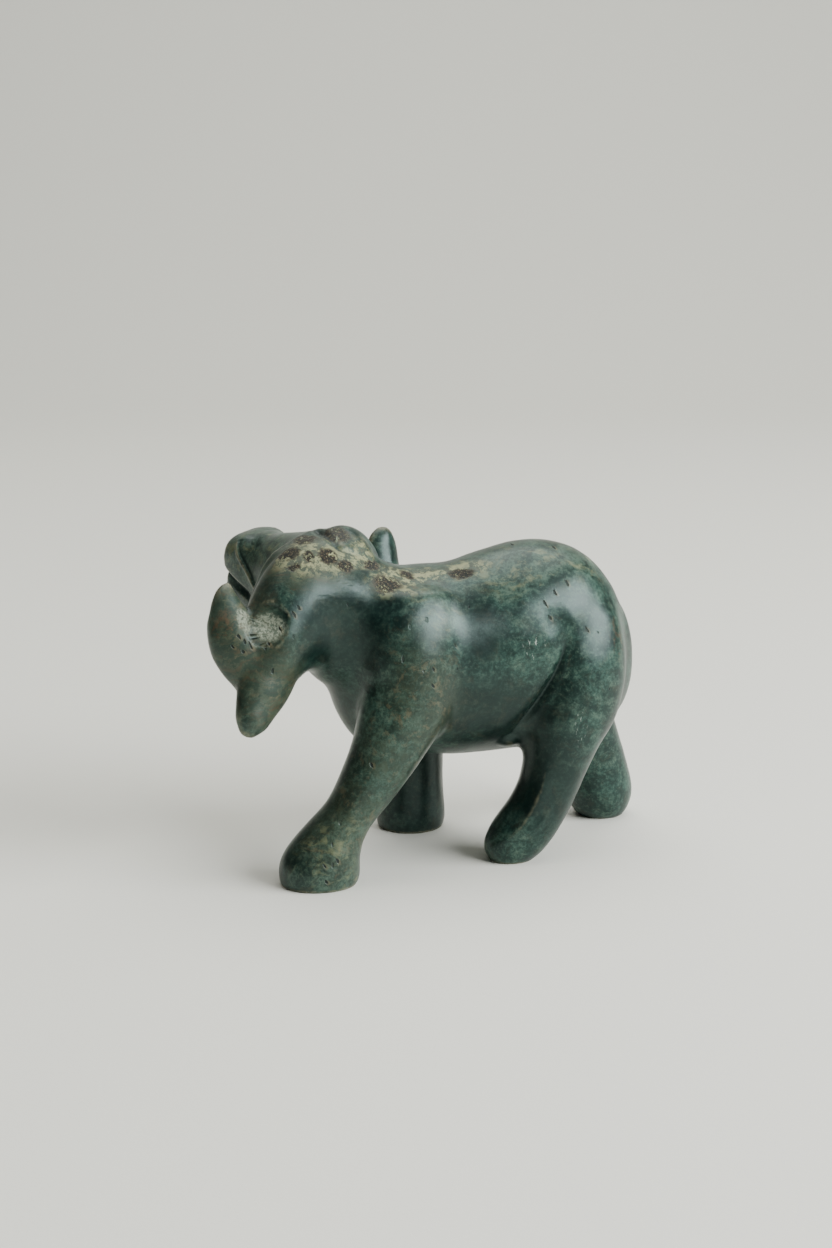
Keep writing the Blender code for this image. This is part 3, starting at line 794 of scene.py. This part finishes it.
class Value:
    """A socket of a node tree, so that shader maths is written as sums."""

    def __init__(self, tree, socket=None):
        self.tree = tree
        self.socket = socket

    def node(self, kind, settings=None, sockets=None, out=0):
        """Adds a node: its settings are set first, then its sockets get a value or a link."""
        made = self.tree.nodes.new(kind)
        for name, value in (settings or {}).items():
            if name == "stops":
                ramp = made.color_ramp
                while len(ramp.elements) < len(value):
                    ramp.elements.new(0.5)
                for element, (place, colour) in zip(ramp.elements, value):
                    element.position = place
                    element.color = colour
            else:
                setattr(made, name, value)
        for name, value in (sockets or {}).items():
            if isinstance(value, Value):
                self.tree.links.new(value.socket, made.inputs[name])
            else:
                made.inputs[name].default_value = value
        return Value(self.tree, made.outputs[out])

    def math(self, operation, *values):
        return self.node("ShaderNodeMath", {"operation": operation}, dict(enumerate(values)))

    def __add__(self, other):
        return self.math("ADD", self, other)

    __radd__ = __add__

    def __sub__(self, other):
        return self.math("SUBTRACT", self, other)

    def __rsub__(self, other):
        return self.math("SUBTRACT", other, self)

    def __mul__(self, other):
        return self.math("MULTIPLY", self, other)

    __rmul__ = __mul__

    def __truediv__(self, other):
        return self.math("DIVIDE", self, other)

    def step(self, low, high):
        """Rises smoothly from 0 at low to 1 at high."""
        return self.node(
            "ShaderNodeMapRange", {"interpolation_type": "SMOOTHSTEP"},
            {0: self, 1: low, 2: high, 3: 0.0, 4: 1.0},
        )

    def noise(self, size, detail=3.0, rough=0.5, out=0):
        """Cloudy noise whose lumps are about size millimetres across."""
        return self.node(
            "ShaderNodeTexNoise", None,
            {"Vector": self, "Scale": 1.0 / size, "Detail": detail, "Roughness": rough}, out,
        )

    def shifted(self, by):
        return self.node("ShaderNodeVectorMath", {"operation": "ADD"}, {0: self, 1: by})

    def stretched(self, by):
        return self.node("ShaderNodeVectorMath", {"operation": "MULTIPLY"}, {0: self, 1: by})

    def times_plus(self, factor, other):
        """This vector times a number, added to another vector."""
        return self.node(
            "ShaderNodeVectorMath", {"operation": "MULTIPLY_ADD"}, {0: self, 1: (factor,) * 3, 2: other},
        )

    def leaning(self, share):
        """The same place with its x carried along by share of its z."""
        parts = [self.node("ShaderNodeSeparateXYZ", None, {0: self}, axis) for axis in range(3)]
        leant = parts[0] + parts[2] * share
        return self.node("ShaderNodeCombineXYZ", None, {0: leant, 1: parts[1], 2: parts[2]})

    def length(self):
        return self.node("ShaderNodeVectorMath", {"operation": "LENGTH"}, {0: self}, 1)

    def blotch(self, centre, radii, soft=0.35):
        """1 inside an ellipsoid, falling to 0 across its soft edge."""
        inside = self.shifted([-c for c in centre]).stretched([1.0 / r for r in radii]).length()
        return 1 - inside.step(1.0 - soft, 1.0 + soft)

    def greater(self, other):
        return self.math("MAXIMUM", self, other)

    def mixed(self, other, share):
        """This colour turned into other by share."""
        return self.node("ShaderNodeMix", {"data_type": "RGBA"}, {0: share, 6: self, 7: other}, 2)


def blotches(place, spots, soft=0.35):
    """The greatest of several blotches."""
    mask = place.blotch(*spots[0], soft)
    for spot in spots[1:]:
        mask = mask.greater(place.blotch(*spot, soft))
    return mask


def stone_material(look, shift):
    """Polished green stone: olive head, yellow veins and brown crust on the crown, dark pits, pale nicks;
    painted shade on the neck, belly and legs and in the cuts, and a painted lit rim beside the pits.
    """
    material = bpy.data.materials.new("pitted_green_stone")
    material.use_nodes = True
    tree = material.node_tree
    shader = tree.nodes["Principled BSDF"]
    start = Value(tree)
    place = start.node("ShaderNodeTexCoord", None, None, 3)
    place = start.node(
        "ShaderNodeMapping", None,
        {"Vector": place, "Scale": (1 / MM,) * 3, "Location": tuple(float(-v) for v in shift)},
    )
    proud = start.node("ShaderNodeAttribute", {"attribute_name": "wear"}, None, 2)
    wander = place.noise(9.0, 3.0, 0.55, 1).shifted((-0.5, -0.5, -0.5))
    shiver = place.noise(1.4, 3.0, 0.6, 1).shifted((-0.5, -0.5, -0.5))
    loose = wander.times_plus(9.0, place)
    tight = shiver.times_plus(2.0, wander.times_plus(3.0, place))
    close = shiver.times_plus(0.9, place)

    clouds = loose.noise(18.0, 5.0, 0.6).step(0.4, 0.6)
    streaks = loose.stretched((0.8, 1.0, 1.15)).noise(4.5, 7.0, 0.7)
    grain = place.noise(1.0, 5.0, 0.75)
    painted_shade = blotches(loose, SHADED_AREAS, 0.5)
    pale = blotches(loose, PALE_AREAS, 0.5)
    stone = place.node("ShaderNodeMix", {"data_type": "RGBA"}, {0: clouds, 6: DARK_GREEN, 7: MID_GREEN}, 2)
    stone = stone.mixed(GREY_GREEN, streaks.step(0.5, 0.68) * 0.5)
    stone = stone.mixed(GREY_GREEN, pale * 0.4)
    # Painted shade: the shaded areas deepen the dark streaks, are turned deep green and lose the pale grain.
    stone = stone.mixed(DEEP_GREEN, (1 - streaks).step(0.46, 0.6) * (painted_shade * 0.25 + 0.7))
    stone = stone.mixed(DEEP_GREEN, painted_shade * 0.8)
    stone = stone.mixed(DEEP_GREEN, (1 - grain).step(0.49, 0.56) * 0.5)
    stone = stone.mixed(GREY_GREEN, grain.step(0.53, 0.61) * (0.26 - painted_shade * 0.2))

    mottle = tight.noise(3.0, 7.0, 0.7)
    brown = blotches(loose, BROWN_AREAS, 0.5)
    stain = loose.noise(3.4, 8.0, 0.75)
    stone = stone.mixed(TAN, stain.step(0.5, 0.66) * (brown * 0.4 + 0.08))
    stone = stone.mixed(OLIVE, brown * ((1 - stain).step(0.48, 0.6) * 0.35 + 0.25))
    olive = blotches(loose, OLIVE_AREAS, 0.45)
    bands = loose.stretched((0.4, 0.6, 2.4)).noise(3.0, 5.0, 0.65)
    stone = stone.mixed(OLIVE, olive * 0.75)
    stone = stone.mixed(UMBER, olive * bands.step(0.5, 0.6) * 0.6)
    stone = stone.mixed(TAN, olive * (1 - bands).step(0.54, 0.66) * 0.35)
    stone = stone.mixed(DARK_GREEN, olive * (1 - mottle).step(0.46, 0.56) * 0.6)
    strands = loose.stretched((0.6, 1.0, 1.2)).noise(3.0, 5.0, 0.65)
    stone = stone.mixed(YELLOW, pale * strands.step(0.5, 0.68) * 0.3)

    veiny = blotches(loose, VEIN_AREAS, 0.45)
    web = (tight.noise(2.2, 5.0, 0.65) - 0.5).math("ABSOLUTE")
    stone = stone.mixed(YELLOW, veiny * mottle.step(0.45, 0.57) * 0.8)
    stone = stone.mixed(TAN, veiny * (1 - mottle).step(0.5, 0.64) * 0.45)
    stone = stone.mixed(DARK_BROWN, veiny * (1 - web.step(0.0, 0.035)) * grain.step(0.44, 0.54) * 0.55)

    crust_area = blotches(tight, CRUST_AREAS, 0.3)
    crumbs = tight.noise(2.0, 5.0, 0.7)
    crust = crust_area * crumbs.step(0.41, 0.44)
    rim = crust_area * crumbs.step(0.36, 0.41) * (1 - crumbs.step(0.41, 0.44))
    scales = close.node(
        "ShaderNodeTexVoronoi", {"feature": "DISTANCE_TO_EDGE"}, {"Vector": close, "Scale": 1 / CRUST_CELL},
    )
    seams = 1 - scales.step(0.04, 0.16)
    stone = stone.mixed(YELLOW, rim * 0.7)
    stone = stone.mixed(UMBER, crust)
    stone = stone.mixed(DARK_BROWN, crust * place.noise(0.8, 4.0, 0.7).step(0.36, 0.5))
    stone = stone.mixed(PIT_DARK, crust * seams * 0.7)
    stone = stone.mixed(TAN, crust * place.noise(0.45, 3.0, 0.6).step(0.58, 0.64) * 0.7)

    rust = place.noise(1.3, 3.0, 0.6).step(0.5, 0.64) * blotches(tight, RUST_AREAS, 0.5)
    stone = stone.mixed(RUST_BROWN, rust * 0.4)
    chip = blotches(tight, CHIP_AREAS, 0.25)
    stone = stone.mixed(CHIP_GREY, chip * (place.noise(0.8, 4.0, 0.7).step(0.42, 0.58) * 0.65 + 0.2))

    edge = proud.step(0.6, 0.82) * stain.step(0.34, 0.56) * (1 - chip)
    stone = stone.mixed(EDGE_TAN, edge * 0.55)
    # Painted shade: deep green down in the cuts and creases.
    stone = stone.mixed(DEEP_GREEN, (1 - proud).step(0.56, 0.72) * (0.8 - chip * 0.8))

    fissure = (close.stretched((1.0, 1.0, 0.4)).noise(4.0, 3.0, 0.6) - 0.5).math("ABSOLUTE")
    cracks = (1 - fissure.step(0.002, 0.012)) * brown * place.noise(5.0, 2.0).step(0.5, 0.56)
    cells = close.stretched((1.0, 1.0, 0.5))
    scatter = {"Vector": cells, "Scale": 1 / PIT_SPACING, "Randomness": 1.0}
    deep = cells.node("ShaderNodeTexVoronoi", None, scatter)
    drawn = cells.node("ShaderNodeTexVoronoi", None, scatter, 1)
    lucky = drawn.node("ShaderNodeSeparateColor", None, {0: drawn})
    pits = (1 - deep.step(0.12, 0.2)) * lucky.step(0.5, 0.52) * blotches(loose, PITTED_AREAS, 0.4)
    rare = (1 - deep.step(0.06, 0.12)) * lucky.step(0.95, 0.96)
    leaning = close.leaning(PIT_LEAN)
    marked = blotches(leaning, [
        ((x + PIT_LEAN * z, y, z), (0.34, 1.0, length * 0.8)) for x, y, z, length in PITS
    ], 0.35)
    pits = pits.greater(rare).greater(marked)
    # Painted highlight: a pale tan rim to the lower right of each listed pit, its lit edge.
    pit_lit_rim = blotches(leaning, [
        ((x + PIT_LEAN * z + 0.3, y, z - 0.3), (0.65, 1.0, length)) for x, y, z, length in PITS
    ], 0.4)
    stone = stone.mixed(TAN, pit_lit_rim * 0.35)
    stone = stone.mixed(PIT_DARK, pits.greater(cracks * 0.8))

    thin = close.stretched((2.2, 2.2, 0.5)).noise(1.2, 3.0, 0.6)
    nicks = thin.step(0.62, 0.66) * blotches(close, NICK_AREAS, 0.4)
    file_marks = (close.stretched((0.2, 0.25, 1.8)).noise(1.2, 2.0) - 0.5).math("ABSOLUTE")
    nicks = nicks.greater((1 - file_marks.step(0.0, 0.01)) * place.noise(6.0, 2.0).step(0.62, 0.7) * 0.5)
    stone = stone.mixed(NICK, nicks * 0.6)

    rough = (look.polish - 0.08) + grain * 0.1 + streaks * 0.12 + veiny * 0.16 + olive * 0.1
    rough = rough + (crust + pits + chip) * 0.3 + edge * 0.12
    height = grain * 0.08 + streaks * 0.12 + bands * olive * 0.15 - crust * 0.5 - pits * 0.9 - cracks * 0.4
    height = height + chip * place.noise(0.8, 3.0) * 0.5 - nicks * 0.1
    bump = place.node("ShaderNodeBump", None, {"Strength": 0.6, "Distance": 0.5 * MM, "Height": height})
    for name, value in {"Base Color": stone, "Roughness": rough, "Normal": bump}.items():
        tree.links.new(value.socket, shader.inputs[name])
    shader.inputs["IOR"].default_value = 1.45
    shader.inputs["Specular Tint"].default_value = (0.78, 1.0, 0.95, 1.0)
    return material


def paper_material(colour, name):
    """Matt paper with a faint tooth."""
    material = bpy.data.materials.new(name)
    material.use_nodes = True
    tree = material.node_tree
    shader = tree.nodes["Principled BSDF"]
    start = Value(tree)
    place = start.node("ShaderNodeTexCoord", None, None, 3)
    tooth = place.noise(0.0012, 2.0)
    bump = place.node("ShaderNodeBump", None, {"Strength": 0.15, "Distance": 0.0002, "Height": tooth})
    tree.links.new(bump.socket, shader.inputs["Normal"])
    shader.inputs["Base Color"].default_value = (*colour, 1.0)
    shader.inputs["Roughness"].default_value = 0.85
    return material


# ---------------------------------------------------------------- sizes and colours a user would change


class FigurineSettings(bpy.types.PropertyGroup):
    """Sizes and finish of the carving."""

    grain: bpy.props.FloatProperty(
        name="Grain", description="Grid that the stone is carved on", default=0.5 * MM, min=0.4 * MM,
        unit="LENGTH", precision=5,
    )
    polish: bpy.props.FloatProperty(
        name="Polish", description="Roughness of the polished stone", default=0.3, min=0.0, max=1.0,
        subtype="FACTOR",
    )


class StageSettings(bpy.types.PropertyGroup):
    """The table, its light and its camera."""

    paper: bpy.props.FloatVectorProperty(
        name="Paper", description="Colour of the table and the wall behind it", default=(0.75, 0.75, 0.68),
        size=3, subtype="COLOR", min=0.0, max=1.0,
    )
    key_power: bpy.props.FloatProperty(
        name="Window", description="Power of the large soft light on the right", default=30.5, unit="POWER",
    )
    lens: bpy.props.FloatProperty(name="Lens", description="Focal length in millimetres", default=65.0)


class FIGURINE_OT_carve(bpy.types.Operator):
    """Carve the buffalo and give it its stone"""

    bl_idname = "figurine.carve"
    bl_label = "Carve the buffalo"

    def execute(self, context):
        look = context.scene.figurine
        mesh = carved_mesh(look.grain / MM)
        points = coordinates(mesh)
        shift = (LOW + HIGH) / 2 - (points.min(axis=0) + points.max(axis=0)) / 2
        shift[2] = LOW[2] - points[:, 2].min()
        move(mesh, (points + shift) * MM)
        mesh.name = PIECE
        mesh.shade_smooth()
        piece = bpy.data.objects.new(PIECE, mesh)
        context.scene.collection.objects.link(piece)
        mesh.materials.append(stone_material(look, shift))
        if len(mesh.polygons) >= 200000:
            raise RuntimeError("the carving has too many faces: use a coarser grain")
        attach(piece, "root")
        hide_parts(NODE)
        return {"FINISHED"}


class FIGURINE_OT_stage(bpy.types.Operator):
    """Set the table, the light and the camera"""

    bl_idname = "figurine.stage"
    bl_label = "Set the stage"

    def execute(self, context):
        stage = context.scene.figurine_stage
        table = sweep(stage.paper)
        for name, power, size, place, aim, colour in LIGHTS:
            lamp(context, name, power * stage.key_power, size, place, aim, colour)
        world = bpy.data.worlds.new("studio")
        world.use_nodes = True
        world.node_tree.nodes["Background"].inputs["Color"].default_value = WORLD_COLOUR
        world.node_tree.nodes["Background"].inputs["Strength"].default_value = WORLD_STRENGTH
        context.scene.world = world
        camera = bpy.data.cameras.new("camera")
        camera.lens = stage.lens
        camera.sensor_width = 36.0
        camera.clip_start, camera.clip_end = 0.01, 20.0
        view = bpy.data.objects.new("camera", camera)
        view.location = CAMERA_PLACE
        view.rotation_euler = Vector(CAMERA_AIM).to_track_quat("-Z", "Y").to_euler()
        context.scene.collection.objects.link(view)
        context.scene.camera = view
        return {"FINISHED"}


def sweep(colour):
    """A paper sweep: flat table, quarter circle, then a wall, carried straight across.

    Profile point k: (y, z) on the table, then (y0 + r sin a, r - r cos a), then up the wall.
    """
    turn = np.radians(np.linspace(0.0, 90.0, 25))
    bend_y, bend_r = 0.9, 0.7
    profile = np.concatenate([
        np.array([[-3.0, 0.0], [-0.6, 0.0], [0.5, 0.0]]),
        np.stack([bend_y + bend_r * np.sin(turn), bend_r - bend_r * np.cos(turn)], axis=1),
        np.array([[bend_y + bend_r, 4.0]]),
    ])
    across = np.linspace(-4.0, 4.0, 9)
    y, x = np.meshgrid(profile[:, 0], across, indexing="ij")
    z = np.repeat(profile[:, 1:], len(across), axis=1)
    turned = np.radians(CAMERA_TURN)
    turned_x = x * np.cos(turned) - y * np.sin(turned)
    turned_y = x * np.sin(turned) + y * np.cos(turned)
    points = np.stack([turned_x, turned_y, z], axis=2)
    rows, cols = x.shape
    index = np.arange(rows * cols).reshape(rows, cols)
    quads = np.stack([index[:-1, :-1], index[:-1, 1:], index[1:, 1:], index[1:, :-1]], axis=2).reshape(-1, 4)
    mesh = bpy.data.meshes.new("paper_sweep")
    mesh.from_pydata(points.reshape(-1, 3), [], quads.tolist())
    mesh.shade_smooth()
    mesh.materials.append(paper_material(colour, "paper"))
    obj = bpy.data.objects.new("paper_sweep", mesh)
    bpy.context.scene.collection.objects.link(obj)
    return obj


def lamp(context, name, power, size, place, aim, colour):
    """A soft rectangular light at place, turned towards aim."""
    light = bpy.data.lights.new(name, "AREA")
    light.shape = "RECTANGLE"
    light.size, light.size_y = size
    light.energy = power
    light.color = colour
    obj = bpy.data.objects.new(name, light)
    obj.location = place
    obj.rotation_euler = (Vector(aim) - Vector(place)).to_track_quat("-Z", "Y").to_euler()
    context.scene.collection.objects.link(obj)
    return obj


class FIGURINE_PT_panel(bpy.types.Panel):
    """Lists the carving's settings and its two steps"""

    bl_label = "Stone buffalo"
    bl_idname = "FIGURINE_PT_panel"
    bl_space_type = "VIEW_3D"
    bl_region_type = "UI"
    bl_category = "Figurine"

    def draw(self, context):
        layout = self.layout
        for settings in (context.scene.figurine, context.scene.figurine_stage):
            for name in settings.bl_rna.properties.keys():
                if name not in ("rna_type", "name"):
                    layout.prop(settings, name)
        layout.operator("figurine.carve")
        layout.operator("figurine.stage")


CLASSES = (FigurineSettings, StageSettings, FIGURINE_OT_carve, FIGURINE_OT_stage, FIGURINE_PT_panel)


def register():
    for cls in CLASSES:
        bpy.utils.register_class(cls)
    bpy.types.Scene.figurine = bpy.props.PointerProperty(type=FigurineSettings)
    bpy.types.Scene.figurine_stage = bpy.props.PointerProperty(type=StageSettings)


def unregister():
    del bpy.types.Scene.figurine
    del bpy.types.Scene.figurine_stage
    for cls in reversed(CLASSES):
        bpy.utils.unregister_class(cls)


def main():
    register()
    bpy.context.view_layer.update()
    bpy.ops.figurine.carve()
    bpy.ops.figurine.stage()


if __name__ == "__main__":
    main()
